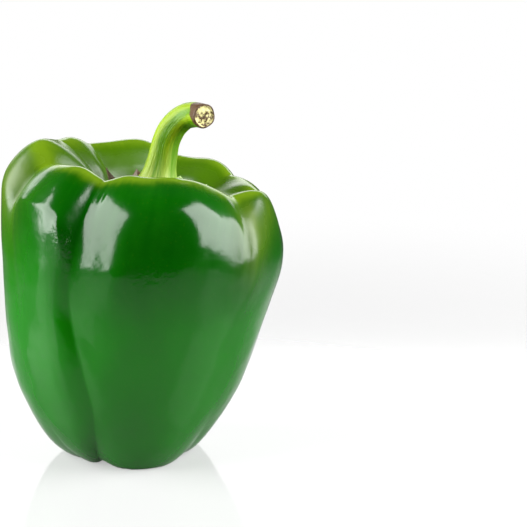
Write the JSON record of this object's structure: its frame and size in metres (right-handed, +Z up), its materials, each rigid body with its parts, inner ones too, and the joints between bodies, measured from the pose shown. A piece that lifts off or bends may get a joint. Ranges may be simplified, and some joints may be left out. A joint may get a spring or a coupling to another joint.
{
  "type": "bell pepper",
  "caption": "Glossy green lobed pepper standing on its feet, with a sunken calyx and a curved cut stem.",
  "frame": {"origin": "on the table, under the middle of the pepper's bounding box", "axes": "+Z up through the well and the stem, -Y towards the front foot, +X towards the side that the stem bends to"},
  "size_m": [0.0884, 0.0852, 0.1119],
  "materials": {
    "fruit_skin": "waxy glossy green skin",
    "calyx_tissue": "leathery matt green, pale at the rim",
    "stem_skin": "satin yellow-green, dry and brown at the cut"
  },
  "bodies": {
    "root": {"fruit": "fruit_skin", "calyx": "calyx_tissue", "stem": "stem_skin"}
  },
  "joints": []
}
